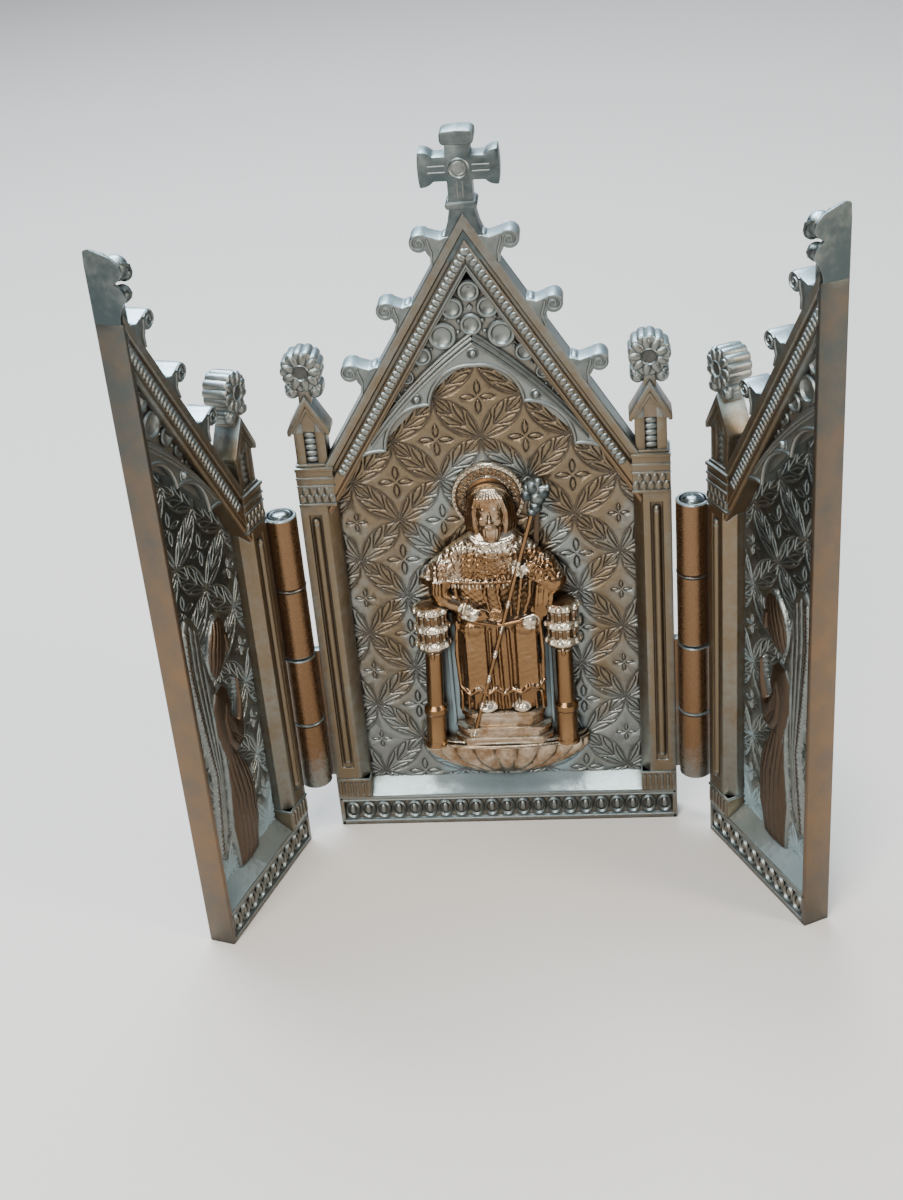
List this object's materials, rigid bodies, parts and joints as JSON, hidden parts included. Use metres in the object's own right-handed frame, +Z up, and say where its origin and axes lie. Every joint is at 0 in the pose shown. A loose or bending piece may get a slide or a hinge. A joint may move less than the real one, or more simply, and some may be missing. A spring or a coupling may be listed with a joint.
{
  "type": "tabletop shrine",
  "caption": "Small standing triptych shrine in cast metal: gabled centre panel with a seated saint in relief, and half panels with angels that close over it on barrel hinges.",
  "frame": {"origin": "middle of the centre panel's underside, at half its thickness", "axes": "+Z up, +X to the viewer's right across the centre panel, +Y from the carved front towards the plain back"},
  "size_m": [0.0745, 0.0269, 0.091],
  "materials": {
    "antique_copper": "antiqued copper over a casting, worn to pale grey on high edges",
    "bright_bronze": "polished golden bronze with dark recesses",
    "pin_steel": "blued steel"
  },
  "bodies": {
    "shrine": {"centre_panel": "antique_copper", "seated_saint": "bright_bronze", "left_hinge_pin": "pin_steel", "right_hinge_pin": "pin_steel"},
    "left_leaf": {"left_wing": "antique_copper"},
    "right_leaf": {"right_wing": "antique_copper"}
  },
  "joints": [
    {"name": "left_hinge", "type": "hinge", "parent": "shrine", "child": "left_leaf", "pos_m": [-0.0244, -0.00225, 0.02725], "axis": [0, 0, 1], "range_deg": [-122, 108]},
    {"name": "right_hinge", "type": "hinge", "parent": "shrine", "child": "right_leaf", "pos_m": [0.0244, -0.00225, 0.02725], "axis": [0, 0, -1], "range_deg": [-113, 117]}
  ]
}
